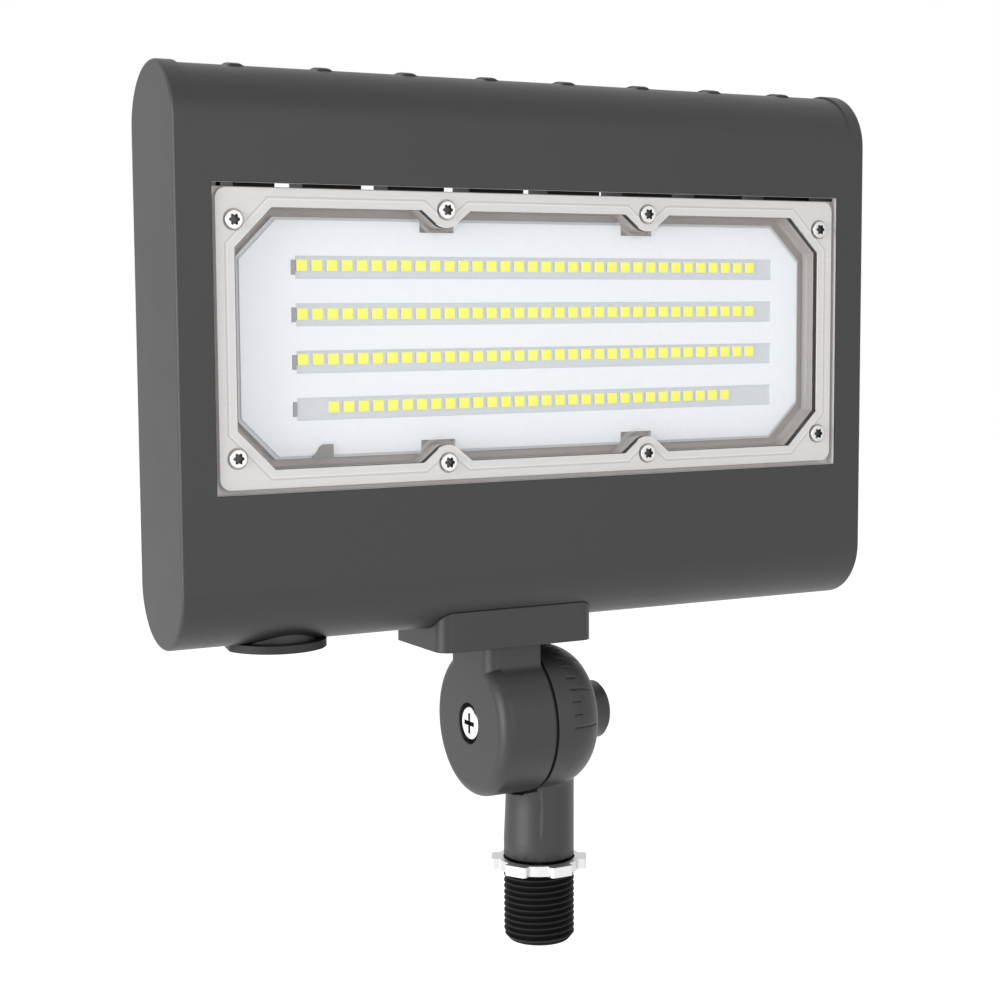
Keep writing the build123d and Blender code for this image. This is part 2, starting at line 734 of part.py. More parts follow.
def make_lead_cover():
    """Small cap over the leads, with one slanted side."""
    low = LEAD_Z - LEAD_COVER_H / 2
    high = low + LEAD_COVER_H
    left = LEAD_X - LEAD_COVER_W / 2
    right = LEAD_X + LEAD_COVER_W / 2
    outline = Polyline((left, low), (right, low), (right, high), (LEAD_X, high), close=True)
    return slab(make_face(outline), SHEET_FACE - LEAD_COVER_T, SHEET_FACE)


def gasket_ring(slack):
    """Gasket line round the opening, bent inwards past each middle screw."""
    half = GASKET_W / 2 + slack
    outer = window_outline(GASKET_OUT + half, GASKET_SCREW_R - half)
    inner = window_outline(GASKET_OUT - half, GASKET_SCREW_R + half)
    return outer - inner


def make_lens():
    """Clear moulding: flange, dipped window and a skirt that enters the compartment."""
    width = WINDOW_W - 2 * LENS_GAP
    height = WINDOW_H - 2 * LENS_GAP
    plate = slab(RectangleRounded(width, height, LENS_CORNER), LENS_FACE, LEDGE)
    plate -= slab(window_outline(0, SCALLOP_R), LENS_FACE, LENS_FACE + LENS_DIP)
    skirt = window_outline(-SKIRT_GAP, SCALLOP_R + SKIRT_GAP)
    inset = SKIRT_GAP + SKIRT_T
    skirt -= window_outline(-inset, SCALLOP_R + inset)
    lens = plate + slab(skirt, LEDGE - LENS_DIP, LEDGE + SKIRT_L)
    head_seat = LENS_FACE - LENS_HEAD_PROUD + LENS_HEAD_T
    for x, z in lens_screw_places():
        lens -= rod_y(SCREW_R + SCREW_HOLE, LENS_FACE, LEDGE, x, z)
        lens -= rod_y(LENS_HEAD_R + SEAT_GAP, LENS_FACE, head_seat, x, z)
    return lens


def make_lens_gasket():
    return slab(gasket_ring(0), LEDGE, LEDGE + GASKET_T)


def make_lens_screws():
    front = LENS_FACE - LENS_HEAD_PROUD
    seat = front + LENS_HEAD_T
    head = rod_y(LENS_HEAD_R, front, seat)
    head = fillet(head.edges().group_by(Axis.Y)[0], LENS_HEAD_T / 4)
    screw = head + rod_y(SCREW_R, seat, seat + LENS_SCREW_L)
    star = Circle(STAR_R)
    for turn in range(0, 360, 60):
        star += Rot(0, 0, turn) * Pos(STAR_R, 0) * Circle(STAR_LOBE_R)
    screw -= slab(star, front - 1, front + STAR_DEPTH)
    return [Pos(x, 0, z) * screw for x, z in lens_screw_places()]


def make_port_plug():
    """Threaded plug: round flange with one flat, seal groove, slotted face."""
    flange = rod(PORT_FLANGE_R, PORT_FLANGE_T)
    reach = 2 * PORT_FLANGE_R
    beyond = block(PORT_FLAT, reach, -reach, reach, 0, PORT_FLANGE_T)
    flange -= Rot(0, 0, PORT_FLAT_TURN) * beyond
    flange -= Pos(0, 0, PORT_FLANGE_T - PORT_SEAL_T) * rod(PORT_SEAL_R + GROOVE_GAP, PORT_SEAL_T)
    plug = flange + rod(PORT_SHANK_R, PORT_SHANK_L)
    plug -= Box(PORT_SLOT_L, PORT_SLOT_W, 2 * PORT_SLOT_DEPTH)
    return Pos(PORT_X, PORT_Y, PORT_FACE) * plug


def make_port_plug_seal():
    ring = rod(PORT_SEAL_R, PORT_SEAL_T) - rod(PORT_SHANK_R + GROOVE_GAP, PORT_SEAL_T)
    return Pos(PORT_X, PORT_Y, PORT_SEAT - PORT_SEAL_T) * ring


def make_port_plug_nut():
    nut = extrude(hexagon(PORT_NUT_AF), amount=PORT_NUT_T)
    nut -= rod(PORT_SHANK_R + THREAD_GAP, PORT_NUT_T)
    return Pos(PORT_X, PORT_Y, PORT_PAD_Z) * nut


# Knuckle: these pieces are placed in the part's own frame

def saddle_cut(radius):
    """Round bottom of the housing, grown to the given radius."""
    return rod_x(radius, PLATE_X - PLATE_W, PLATE_X + PLATE_W, SADDLE_Y, SADDLE_Z)


def plate_prism(inset):
    """Outline of the plate, or of the gasket's recess inside its rim, as a tall block."""
    outline = Rectangle(PLATE_W - 2 * inset, PLATE_D - 2 * inset)
    outline = fillet(outline.vertices(), PLATE_CORNER - inset)
    return Pos(PLATE_X, 0, PLATE_Z) * extrude(outline, amount=PLATE_TOP)


def make_saddle_gasket():
    gasket = plate_prism(SADDLE_INSET) & saddle_cut(SADDLE_R)
    gasket -= saddle_cut(END_R)
    gasket -= rod_z(WIRE_R, PLATE_Z, PLATE_Z + PLATE_TOP, PLATE_X, 0)
    for x, y in saddle_screw_places():
        gasket -= rod_z(SADDLE_SCREW_R + SCREW_HOLE, PLATE_Z, PLATE_Z + PLATE_TOP, x, y)
    return gasket


def make_saddle_screws():
    low = PLATE_Z + SADDLE_FLOOR + DRILL_SPARE
    screw = rod_z(SADDLE_SCREW_R, low, SADDLE_PAD_Z)
    screw += Pos(0, 0, SADDLE_PAD_Z) * rod(SADDLE_HEAD_R, SADDLE_HEAD_T)
    recess = cross_recess(SADDLE_HEAD_R, SADDLE_HEAD_T / 2)
    screw -= Pos(0, 0, SADDLE_PAD_Z + SADDLE_HEAD_T) * recess
    return [Pos(x, y, 0) * screw for x, y in saddle_screw_places()]


def neck_fillet():
    """Hollow fillet where the front of the neck runs into the round disc."""
    y = NECK_W / 2 + NECK_FILLET
    z = sqrt((DISC_R + NECK_FILLET) ** 2 - y ** 2)
    share = DISC_R / (DISC_R + NECK_FILLET)
    outline = Polyline((0, z), (y, z), (share * y, share * z), (0, share * z), close=True)
    corner = make_face(outline) - Pos(y, z) * Circle(NECK_FILLET)
    return Pos(0, 0, PIVOT_Z) * bar(corner, UPPER_LEFT + DISC_EDGE, JOINT_X)


def make_upper_knuckle():
    """Plate, neck and round disc in one casting."""
    disc = rod_x(DISC_R, UPPER_LEFT, JOINT_X, 0, PIVOT_Z)
    disc = fillet(disc.edges().group_by(Axis.X)[0], DISC_EDGE)
    half = NECK_W / 2
    neck = block(UPPER_LEFT, JOINT_X, -half, half, PIVOT_Z, PLATE_Z + PLATE_CORNER)
    neck = fillet(neck.edges().filter_by(Axis.Z).group_by(Axis.X)[0], DISC_EDGE)
    hollow = neck_fillet()
    neck += hollow + mirror(hollow, Plane.XZ)
    plate = plate_prism(0) - saddle_cut(END_R + SADDLE_RIM_GAP)
    plate -= plate_prism(SADDLE_INSET) & saddle_cut(SADDLE_R)
    knuckle = disc + neck + plate
    knuckle -= rod_x(CLAMP_RECESS_R, UPPER_LEFT - 1, CLAMP_SEAT, 0, PIVOT_Z)
    knuckle -= wiring_ring(UPPER_LEFT + CAVITY_WALL, JOINT_X)
    knuckle -= rod_z(WIRE_R, PIVOT_Z + BOSS_R + 1, PLATE_Z + PLATE_TOP, PLATE_X, 0)
    knuckle -= rod_x(CLAMP_R + CLAMP_GAP, UPPER_LEFT, JOINT_X, 0, PIVOT_Z)
    for x, y in saddle_screw_places():
        knuckle -= rod_z(SADDLE_SCREW_R + PILOT_GAP, PLATE_Z + SADDLE_FLOOR,
                         PLATE_Z + PLATE_TOP, x, y)
    return knuckle


def wiring_ring(x0, x1):
    """Hollow round the clamp screw's boss where the wires pass from disc to disc."""
    return rod_x(CAVITY_R, x0, x1, 0, PIVOT_Z) - rod_x(BOSS_R, x0, x1, 0, PIVOT_Z)


def make_knuckle_seal():
    start = JOINT_X + SEAL_SLACK
    ring = rod_x(SEAL_OUT, start, LOWER_LEFT, 0, PIVOT_Z)
    return ring - rod_x(SEAL_IN, start, LOWER_LEFT, 0, PIVOT_Z)


def make_clamp_screw():
    head_end = CLAMP_HEAD_X + CLAMP_HEAD_T
    head = rod_x(CLAMP_HEAD_R, CLAMP_HEAD_X, head_end, 0, PIVOT_Z)
    head = fillet(head.edges().group_by(Axis.X)[0], CLAMP_HEAD_T / 5)
    screw = head + rod_x(CLAMP_R, head_end, END_BOSS_X - CLAMP_TIP, 0, PIVOT_Z)
    slot = Box(2 * CROSS_DEPTH, CROSS_L, CROSS_W)
    cross = slot + Rot(90, 0, 0) * slot
    return screw - Pos(CLAMP_HEAD_X, 0, PIVOT_Z) * cross


def make_clamp_washer():
    start = CLAMP_HEAD_X + CLAMP_HEAD_T
    washer = rod_x(CLAMP_WASHER_R, start, CLAMP_SEAT, 0, PIVOT_Z)
    return washer - rod_x(CLAMP_R + CLAMP_WASHER_GAP, start, CLAMP_SEAT, 0, PIVOT_Z)


def make_clamp_nut():
    nut = bar(Rot(0, 0, 30) * hexagon(CLAMP_NUT_AF), CLAMP_NUT_X, CLAMP_NUT_X + CLAMP_NUT_T)
    nut -= rod_x(CLAMP_R + THREAD_GAP, CLAMP_NUT_X - 1, END_BOSS_X)
    return Pos(0, 0, PIVOT_Z) * nut


def dome_radius(x):
    """Radius of the lower disc at x, along its rim and its elliptic dome."""
    if x <= DOME_X:
        return DISC_R
    share = (x - DOME_X) / DOME_A
    return DISC_R - DOME_B + DOME_B * sqrt(1 - share * share)


def lower_disc():
    """Half section with the rim, dome and end boss, turned about the pivot."""
    end_r = DISC_R - DOME_B
    dome = EllipticalCenterArc((DOME_X, end_r), DOME_A, DOME_B, 0, arc_size=90)
    section = (
        Line((LOWER_LEFT, 0), (LOWER_LEFT, DISC_R))
        + Line((LOWER_LEFT, DISC_R), (DOME_X, DISC_R))
        + dome
        + Line((DOME_END, end_r), (DOME_END, END_BOSS_R))
        + Line((DOME_END, END_BOSS_R), (END_BOSS_X - END_BOSS_EDGE, END_BOSS_R))
        + Line((END_BOSS_X - END_BOSS_EDGE, END_BOSS_R),
               (END_BOSS_X, END_BOSS_R - END_BOSS_EDGE))
        + Line((END_BOSS_X, END_BOSS_R - END_BOSS_EDGE), (END_BOSS_X, 0))
        + Line((END_BOSS_X, 0), (LOWER_LEFT, 0))
    )
    return Pos(0, 0, PIVOT_Z) * revolve(Plane.XY * make_face(section), Axis.X, 360)


def scale_marks():
    """Engraved tilt scale from level in front, over the top, to level behind."""
    marks = []
    start = DOME_X + MARK_LEAD
    high = DISC_R + 1
    for angle in range(0, 181, MARK_STEP):
        long_mark = angle % MARK_LONG_STEP == 0
        reach = DOME_END - MARK_SHORT if long_mark else start + MARK_SHORT
        low = dome_radius(reach) - MARK_DEPTH
        steps = 6 if long_mark else 1
        floor = [(start + (reach - start) * step / steps) for step in range(steps + 1)]
        points = [(x, dome_radius(x) - MARK_DEPTH) for x in floor]
        outline = Polyline((start, high), *points, (reach, high), close=True)
        tool = extrude(Plane.XY * make_face(outline), amount=MARK_W / 2, both=True)
        marks.append(Pos(0, 0, PIVOT_Z) * Rot(180 - angle, 0, 0) * tool)
    return marks


def stem():
    """Round stem, waisted on its left part and cut there to clear the upper disc."""
    post = Cone(STEM_R, STEM_R + STEM_DRAFT, PIVOT_Z,
                align=(Align.CENTER, Align.CENTER, Align.MIN))
    post -= rod_x(DISC_R + STEM_CLEAR, -2 * STEM_R, LOWER_LEFT, 0, PIVOT_Z)
    waist = Polyline((STEM_R, WAIST_LOW), (STEM_R - WAIST_DEPTH, WAIST_Z),
                     (STEM_R, WAIST_TOP), (2 * STEM_R, WAIST_TOP),
                     (2 * STEM_R, WAIST_LOW), close=True)
    ring = revolve(Plane.XZ * make_face(waist), Axis.Z, 360)
    left = block(-2 * STEM_R, WAIST_X, -STEM_R, STEM_R, 0, PIVOT_Z)
    return post - (ring & left)


def thread_section():
    """Half section of the thread: relief, run-out ridges, full ridges, chamfered end."""
    points = [(0, 1), (THREAD_ROOT_R, 1), (THREAD_ROOT_R, -RELIEF_W)]
    rise = (THREAD_PITCH - CREST_W - ROOT_W) / 2
    z = -RELIEF_W
    turn = 0
    while z - THREAD_PITCH > THREAD_TIP - THREAD_END:
        crest = THREAD_R - (RUN_OUT if turn < RUN_OUT_TURNS else 0)
        points.append((crest, z - rise))
        points.append((crest, z - rise - CREST_W))
        points.append((THREAD_ROOT_R, z - THREAD_PITCH + ROOT_W))
        points.append((THREAD_ROOT_R, z - THREAD_PITCH))
        z -= THREAD_PITCH
        turn += 1
    points.append((THREAD_R, z - rise))
    points.append((TIP_R, -THREAD_END))
    points.append((0, -THREAD_END))
    return make_face(Polyline(*points, close=True))


def make_lower_knuckle():
    """Disc, dome, stem and threaded end in one casting."""
    casting = lower_disc() + stem()
    casting += revolve(Plane.XZ * thread_section(), Axis.Z, 360)
    casting -= wiring_ring(LOWER_LEFT, DOME_X + DOME_A / 3)
    casting -= rod_z(STEM_BORE_R, -THREAD_END - 1, STEM_BORE_TOP)
    casting -= rod_z(STEM_WIRE_R, 0, PIVOT_Z - BOSS_R - 1)
    casting -= rod_x(CLAMP_R + CLAMP_GAP, LOWER_LEFT - 1, END_BOSS_X, 0, PIVOT_Z)
    pocket = Rot(0, 0, 30) * hexagon(CLAMP_NUT_AF + 2 * CLAMP_NUT_GAP)
    casting -= Pos(0, 0, PIVOT_Z) * bar(pocket, CLAMP_NUT_X, END_BOSS_X + 1)
    for mark in scale_marks():
        casting -= mark
    return casting


def make_locknut():
    """Die-cast nut with a ring of square lugs, their outer corners eased."""
    outline = Circle(NUT_R)
    for step in range(NUT_LUGS):
        lug = Pos(NUT_LUG_R / 2, 0) * Rectangle(NUT_LUG_R, NUT_LUG_W)
        outline += Rot(0, 0, NUT_TURN + step * 360 / NUT_LUGS) * lug
    outline -= Circle(THREAD_R + NUT_GAP)
    nut = extrude(outline, amount=NUT_T)
    upright = nut.edges().filter_by(Axis.Z)
    tips = upright.filter_by(lambda edge: hypot(edge.center().X, edge.center().Y) > NUT_R + 1)
    nut = chamfer(tips, NUT_LUG_EDGE)
    return Pos(0, 0, -NUT_TOP - NUT_T) * nut


def write(name, shape, frame=None):
    """One STEP file for one kind of piece; a list becomes one file of several solids."""
    pieces = shape if isinstance(shape, list) else [shape]
    solids = [solid for piece in pieces for solid in piece.solids()]
    if frame is not None:
        solids = [frame * solid for solid in solids]
    result = solids[0] if len(solids) == 1 else Compound(children=solids)
    export_step(result, f"parts/{name}.step")


os.makedirs("parts", exist_ok=True)

HEAD_PIECES = {
    "housing": make_housing,
    "back_cover": make_back_cover,
    "cover_gasket": make_cover_gasket,
    "cover_screws": make_cover_screws,
    "led_driver": make_led_driver,
    "driver_screws": make_driver_screws,
    "led_board": make_led_board,
    "board_screws": make_board_screws,
    "led_packages": make_led_packages,
    "row_connectors": make_row_connectors,
    "reflector_sheet": make_reflector_sheet,
    "lead_cover": make_lead_cover,
    "lens": make_lens,
    "lens_gasket": make_lens_gasket,
    "lens_screws": make_lens_screws,
    "port_plug": make_port_plug,
    "port_plug_seal": make_port_plug_seal,
    "port_plug_nut": make_port_plug_nut,
}
KNUCKLE_PIECES = {
    "saddle_gasket": make_saddle_gasket,
    "saddle_screws": make_saddle_screws,
    "upper_knuckle": make_upper_knuckle,
    "knuckle_seal": make_knuckle_seal,
    "clamp_screw": make_clamp_screw,
    "clamp_washer": make_clamp_washer,
    "clamp_nut": make_clamp_nut,
    "lower_knuckle": make_lower_knuckle,
    "locknut": make_locknut,
}
for piece_name, make in HEAD_PIECES.items():
    write(piece_name, make(), HEAD)
for piece_name, make in KNUCKLE_PIECES.items():
    write(piece_name, make())
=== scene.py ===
import math

import bpy
from mathutils import Matrix, Vector


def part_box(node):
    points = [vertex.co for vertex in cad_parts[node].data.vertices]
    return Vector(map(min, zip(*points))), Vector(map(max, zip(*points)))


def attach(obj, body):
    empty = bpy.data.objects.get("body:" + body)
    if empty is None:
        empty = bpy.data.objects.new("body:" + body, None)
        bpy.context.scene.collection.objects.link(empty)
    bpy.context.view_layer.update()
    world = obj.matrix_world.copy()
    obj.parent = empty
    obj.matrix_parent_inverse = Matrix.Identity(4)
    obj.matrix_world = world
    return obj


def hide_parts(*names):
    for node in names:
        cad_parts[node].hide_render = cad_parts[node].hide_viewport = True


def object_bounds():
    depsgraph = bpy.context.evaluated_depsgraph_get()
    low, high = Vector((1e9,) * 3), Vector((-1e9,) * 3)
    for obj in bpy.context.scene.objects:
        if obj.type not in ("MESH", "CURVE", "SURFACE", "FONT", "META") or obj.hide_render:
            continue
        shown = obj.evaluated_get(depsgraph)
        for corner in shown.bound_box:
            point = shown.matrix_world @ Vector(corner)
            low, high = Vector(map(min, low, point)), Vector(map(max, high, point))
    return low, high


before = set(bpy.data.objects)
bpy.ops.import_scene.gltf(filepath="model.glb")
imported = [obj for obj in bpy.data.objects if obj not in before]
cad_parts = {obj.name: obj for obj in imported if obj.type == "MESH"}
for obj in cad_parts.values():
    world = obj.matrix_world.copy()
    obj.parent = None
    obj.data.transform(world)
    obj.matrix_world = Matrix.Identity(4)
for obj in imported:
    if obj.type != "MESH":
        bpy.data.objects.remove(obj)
cad_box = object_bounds()


# The camera stands to the front left of the lamp, a little above the knuckle.
# It was solved from the straight edges of the window and the even steps of the fins,
# with a lens of 1960 pixels for a picture 1000 pixels wide.
CAMERA_PLACE = Vector((-0.28361, -0.49678, 0.16167))
CAMERA_TURN = 0.4995
CAMERA_DROP = 0.0976
CAMERA_ROLL = -0.0056
FOCAL_PIXELS = 1960.08
PICTURE_WIDTH = 1000

level = Vector((math.sin(CAMERA_TURN), math.cos(CAMERA_TURN), 0))
level_right = Vector((math.cos(CAMERA_TURN), -math.sin(CAMERA_TURN), 0))
up_axis = Vector((0, 0, 1))
look = math.cos(CAMERA_DROP) * level - math.sin(CAMERA_DROP) * up_axis
upright = math.cos(CAMERA_DROP) * up_axis + math.sin(CAMERA_DROP) * level
right = math.cos(CAMERA_ROLL) * level_right + math.sin(CAMERA_ROLL) * upright
upright = math.cos(CAMERA_ROLL) * upright - math.sin(CAMERA_ROLL) * level_right

camera_data = bpy.data.cameras.new("camera")
camera_data.sensor_fit = "HORIZONTAL"
camera_data.sensor_width = 36.0
camera_data.lens = camera_data.sensor_width * FOCAL_PIXELS / PICTURE_WIDTH
camera_data.clip_start = 0.01
camera = bpy.data.objects.new("camera", camera_data)
bpy.context.scene.collection.objects.link(camera)
camera.matrix_world = Matrix((
    (right.x, upright.x, -look.x, CAMERA_PLACE.x),
    (right.y, upright.y, -look.y, CAMERA_PLACE.y),
    (right.z, upright.z, -look.z, CAMERA_PLACE.z),
    (0, 0, 0, 1),
))
bpy.context.scene.camera = camera
bpy.context.scene.view_settings.view_transform = "Standard"


# Shader maths: a wire is one output of a node, and sums of wires become Math nodes.
# A finish is one material with its nodes; every finish ends in one shader.
class Wire:
    def __init__(self, finish, socket):
        self.finish = finish
        self.socket = socket

    def math(self, operation, *values):
        return self.finish.node("ShaderNodeMath", {"operation": operation},
                                dict(enumerate(values)))

    def __add__(self, other):
        return self.math("ADD", self, other)

    def __radd__(self, other):
        return self.math("ADD", other, self)

    def __sub__(self, other):
        return self.math("SUBTRACT", self, other)

    def __rsub__(self, other):
        return self.math("SUBTRACT", other, self)

    def __mul__(self, other):
        return self.math("MULTIPLY", self, other)

    def __rmul__(self, other):
        return self.math("MULTIPLY", other, self)

    def __lt__(self, other):
        return self.math("LESS_THAN", self, other)

    def __gt__(self, other):
        return self.math("GREATER_THAN", self, other)

    def __pow__(self, other):
        return self.math("POWER", self, other)

    def __and__(self, other):
        """Smaller of two values: where both masks hold."""
        return self.math("MINIMUM", self, other)

    def __or__(self, other):
        """Larger of two values: where either mask holds."""
        return self.math("MAXIMUM", self, other)

    def __abs__(self):
        return self.math("ABSOLUTE", self)


class Finish:
    def __init__(self, name):
        self.material = bpy.data.materials.new(name)
        self.material.use_nodes = True
        self.tree = self.material.node_tree
        self.tree.nodes.clear()

    def node(self, kind, settings=None, inputs=None, out=0):
        """Adds one node: its settings first, then the values or wires of its sockets."""
        made = self.tree.nodes.new(kind)
        for key, value in (settings or {}).items():
            if key == "stops":
                for stop, (place, color) in zip(made.color_ramp.elements, value):
                    stop.position = place
                    stop.color = color
            else:
                setattr(made, key, value)
        for key, value in (inputs or {}).items():
            if isinstance(value, Wire):
                self.tree.links.new(value.socket, made.inputs[key])
            else:
                made.inputs[key].default_value = value
        return Wire(self, made.outputs[out])

    def place(self):
        """Object coordinates, in metres, and their three parts."""
        spot = self.node("ShaderNodeTexCoord", out="Object")
        parts = [self.node("ShaderNodeSeparateXYZ", None, {0: spot}, out=axis)
                 for axis in ("X", "Y", "Z")]
        return spot, *parts

    def noise(self, spot, scale, detail=2.0, roughness=0.5):
        return self.node("ShaderNodeTexNoise", None,
                         {"Vector": spot, "Scale": scale, "Detail": detail,
                          "Roughness": roughness})

    def mix(self, share, first, second):
        """Colour between two colours; share 0 gives the first."""
        made = self.tree.nodes.new("ShaderNodeMix")
        made.data_type = "RGBA"
        for key, value in ((0, share), (6, first), (7, second)):
            if isinstance(value, Wire):
                self.tree.links.new(value.socket, made.inputs[key])
            elif key == 0:
                made.inputs[key].default_value = value
            else:
                made.inputs[key].default_value = (*value, 1.0)
        return Wire(self, made.outputs[2])

    def bump(self, height, strength, distance):
        return self.node("ShaderNodeBump", None,
                         {"Strength": strength, "Distance": distance, "Height": height})

    def surface(self, inputs):
        """Ends the finish in a Principled shader with these sockets."""
        fixed = {key: (*value, 1.0) if isinstance(value, tuple) and len(value) == 3 else value
                 for key, value in inputs.items()}
        shader = self.node("ShaderNodeBsdfPrincipled", None, fixed)
        self.node_output(shader)
        return self.material

    def node_output(self, shader):
        end = self.tree.nodes.new("ShaderNodeOutputMaterial")
        self.tree.links.new(shader.socket, end.inputs["Surface"])


def dress(node, *materials):
    """Gives a CAD node its finish in place of the plain one."""
    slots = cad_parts[node].data.materials
    slots.clear()
    for material in materials:
        slots.append(material)


# Floor, backdrop and light: a white studio with the floor well below the lamp, which hangs
# on its thread. Floor and world show white to the eye and in every gloss. What lights the
# lamp is a soft dome, stronger from the left.
FLOOR_DROP = 0.42
FLOOR_SIZE = 12.0
FLOOR_GRAIN = 30.0
FLOOR_MOTTLE = 0.04
FLOOR_PALE = (0.9, 0.9, 0.9)
FLOOR_DULL = (0.87, 0.87, 0.87)
FLOOR_GLOW = 0.55
DOME_LIGHT = 0.63
SIDE_LIGHT = 19.0
SIDE_PLACE = (-1.4, -0.15, 0.25)
SIDE_SIZE = 1.0
FRONT_LIGHT = 6.8
FRONT_PLACE = (0.2, -1.6, 0.5)
FRONT_SIZE = 1.4
LAMP_MIDDLE = (0, 0, 0.12)


def seen_directly(nodes, links):
    """Socket that is 1 for a ray from the eye, a gloss or a clear piece."""
    rays = nodes.new("ShaderNodeLightPath")
    total = rays.outputs["Is Camera Ray"]
    for name in ("Is Glossy Ray", "Is Transmission Ray"):
        both = nodes.new("ShaderNodeMath")
        both.operation = "ADD"
        both.use_clamp = True
        links.new(total, both.inputs[0])
        links.new(rays.outputs[name], both.inputs[1])
        total = both.outputs[0]
    return total


world = bpy.data.worlds.new("studio")
world.use_nodes = True
bpy.context.scene.world = world
nodes, links = world.node_tree.nodes, world.node_tree.links
nodes.clear()
dome = nodes.new("ShaderNodeBackground")
dome.inputs["Strength"].default_value = DOME_LIGHT
white = nodes.new("ShaderNodeBackground")
for background in (dome, white):
    background.inputs["Color"].default_value = (1, 1, 1, 1)
pick = nodes.new("ShaderNodeMixShader")
links.new(seen_directly(nodes, links), pick.inputs[0])
links.new(dome.outputs[0], pick.inputs[1])
links.new(white.outputs[0], pick.inputs[2])
world_end = nodes.new("ShaderNodeOutputWorld")
links.new(pick.outputs[0], world_end.inputs["Surface"])

bpy.ops.mesh.primitive_plane_add(size=FLOOR_SIZE, location=(0, 0, cad_box[0].z - FLOOR_DROP))
floor = bpy.context.object
floor.name = "floor"
finish = Finish("floor_white")
spot, *_ = finish.place()
shade = finish.mix(finish.noise(spot, FLOOR_GRAIN) * FLOOR_MOTTLE, FLOOR_PALE, FLOOR_DULL)
matt = finish.node("ShaderNodeBsdfDiffuse", None, {"Color": shade})
glow = finish.node("ShaderNodeEmission", None, {"Strength": FLOOR_GLOW})
dark = finish.node("ShaderNodeEmission", None, {"Strength": 0.0})
direct = Wire(finish, seen_directly(finish.tree.nodes, finish.tree.links))
light = finish.node("ShaderNodeMixShader", None, {0: direct, 1: dark, 2: glow})
finish.node_output(finish.node("ShaderNodeAddShader", None, {0: matt, 1: light}))
floor.data.materials.append(finish.material)


def softbox(name, place, target, size, power):
    """A square area lamp at a place, facing a target."""
    data = bpy.data.lights.new(name, "AREA")
    data.shape = "SQUARE"
    data.size = size
    data.energy = power
    lamp = bpy.data.objects.new(name, data)
    bpy.context.scene.collection.objects.link(lamp)
    way = Vector(target) - Vector(place)
    lamp.matrix_world = (Matrix.Translation(place)
                         @ way.to_track_quat("-Z", "Y").to_matrix().to_4x4())


softbox("left_softbox", SIDE_PLACE, LAMP_MIDDLE, SIDE_SIZE, SIDE_LIGHT)
softbox("front_softbox", FRONT_PLACE, LAMP_MIDDLE, FRONT_SIZE, FRONT_LIGHT)


# Housing: one aluminium die casting, powder coated dark grey with a fine satin skin. The
# compartment behind the window is masked from the paint and stays warm grey bare casting,
# brightest on the ledge that the lens lies on.
PAINT = (0.0198, 0.0198, 0.0199)
PAINT_ROUGH = 0.45
CAST_EDGE = 0.0005
MOTTLE_SCALE = 60.0
PEEL_SCALE = 1400.0
PEEL_STRENGTH = 0.1
PEEL_DEPTH = 0.0001
BARE = (0.42, 0.372, 0.345)
LEDGE_BARE = (0.66, 0.64, 0.63)
WINDOW_WIDE = 0.2
WINDOW_HIGH = 0.0807
WINDOW_ABOVE = 0.0822
LIP = 0.0006
LEDGE_FLOOR = 0.0036
RECESS_FLOOR = 0.0096
MASK_SPARE = 0.001
housing_low, housing_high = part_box("housing")
WINDOW_X = (housing_low.x + housing_high.x) / 2
WINDOW_Z = housing_low.z + WINDOW_ABOVE
FRONT_Y = housing_low.y


def soft_edges(finish, height, strength, depth, radius):
    """Normal with rounded cast edges and a fine relief."""
    rounded = finish.node("ShaderNodeBevel", {"samples": 4}, {"Radius": radius})
    return finish.node("ShaderNodeBump", None, {"Strength": strength, "Distance": depth,
                                                "Height": height, "Normal": rounded})


def powder_coat(name, color, roughness, masked=False):
    """Powder coat: a faint mottle and a fine orange-peel skin over rounded cast edges."""
    finish = Finish(name)
    spot, x, y, z = finish.place()
    mottle = finish.noise(spot, MOTTLE_SCALE)
    peel = finish.noise(spot, PEEL_SCALE, 3.0)
    coat = finish.mix(mottle, tuple(channel * 0.9 for channel in color), color)
    rough = roughness + (mottle - 0.5) * 0.08
    if masked:
        bare = finish.mix(y < FRONT_Y + LEDGE_FLOOR, BARE, LEDGE_BARE)
        inside = ((abs(x - WINDOW_X) < WINDOW_WIDE / 2 + MASK_SPARE)
                  & (abs(z - WINDOW_Z) < WINDOW_HIGH / 2 + MASK_SPARE)
                  & (y > FRONT_Y + LIP) & (y < FRONT_Y + RECESS_FLOOR))
        coat = finish.mix(inside, coat, bare)
        rough = rough + inside * 0.1
    return finish.surface({
        "Base Color": coat,
        "Roughness": rough,
        "Normal": soft_edges(finish, peel, PEEL_STRENGTH, PEEL_DEPTH, CAST_EDGE),
    })


paint = powder_coat("dark_grey_paint", PAINT, PAINT_ROUGH)
dress("housing", powder_coat("housing_paint", PAINT, PAINT_ROUGH, True))


# Back cover, its gasket and screws: a chamfered aluminium plate, painted as the housing,
# screwed down on a black rubber ring with six zinc-plated pan-head screws.
SKIN_SCALE = 900.0
SKIN_DEPTH = 0.0001
CLOUD_SCALE = 700.0
SCREW_EDGE = 0.0002
# Painted shade: the near-black colour given to screw recesses in place of their shadow.
RECESS_SHADE = (0.05, 0.05, 0.052)


def moulded(name, color, roughness, relief=0.08):
    """Moulded rubber or plastic: an even colour with a fine eroded skin."""
    finish = Finish(name)
    spot, *_ = finish.place()
    skin = finish.noise(spot, SKIN_SCALE, 4.0, 0.6)
    return finish.surface({
        "Base Color": finish.mix(skin, tuple(channel * 0.9 for channel in color), color),
        "Roughness": roughness + (skin - 0.5) * 0.15,
        "Normal": finish.bump(skin, relief, SKIN_DEPTH),
    })


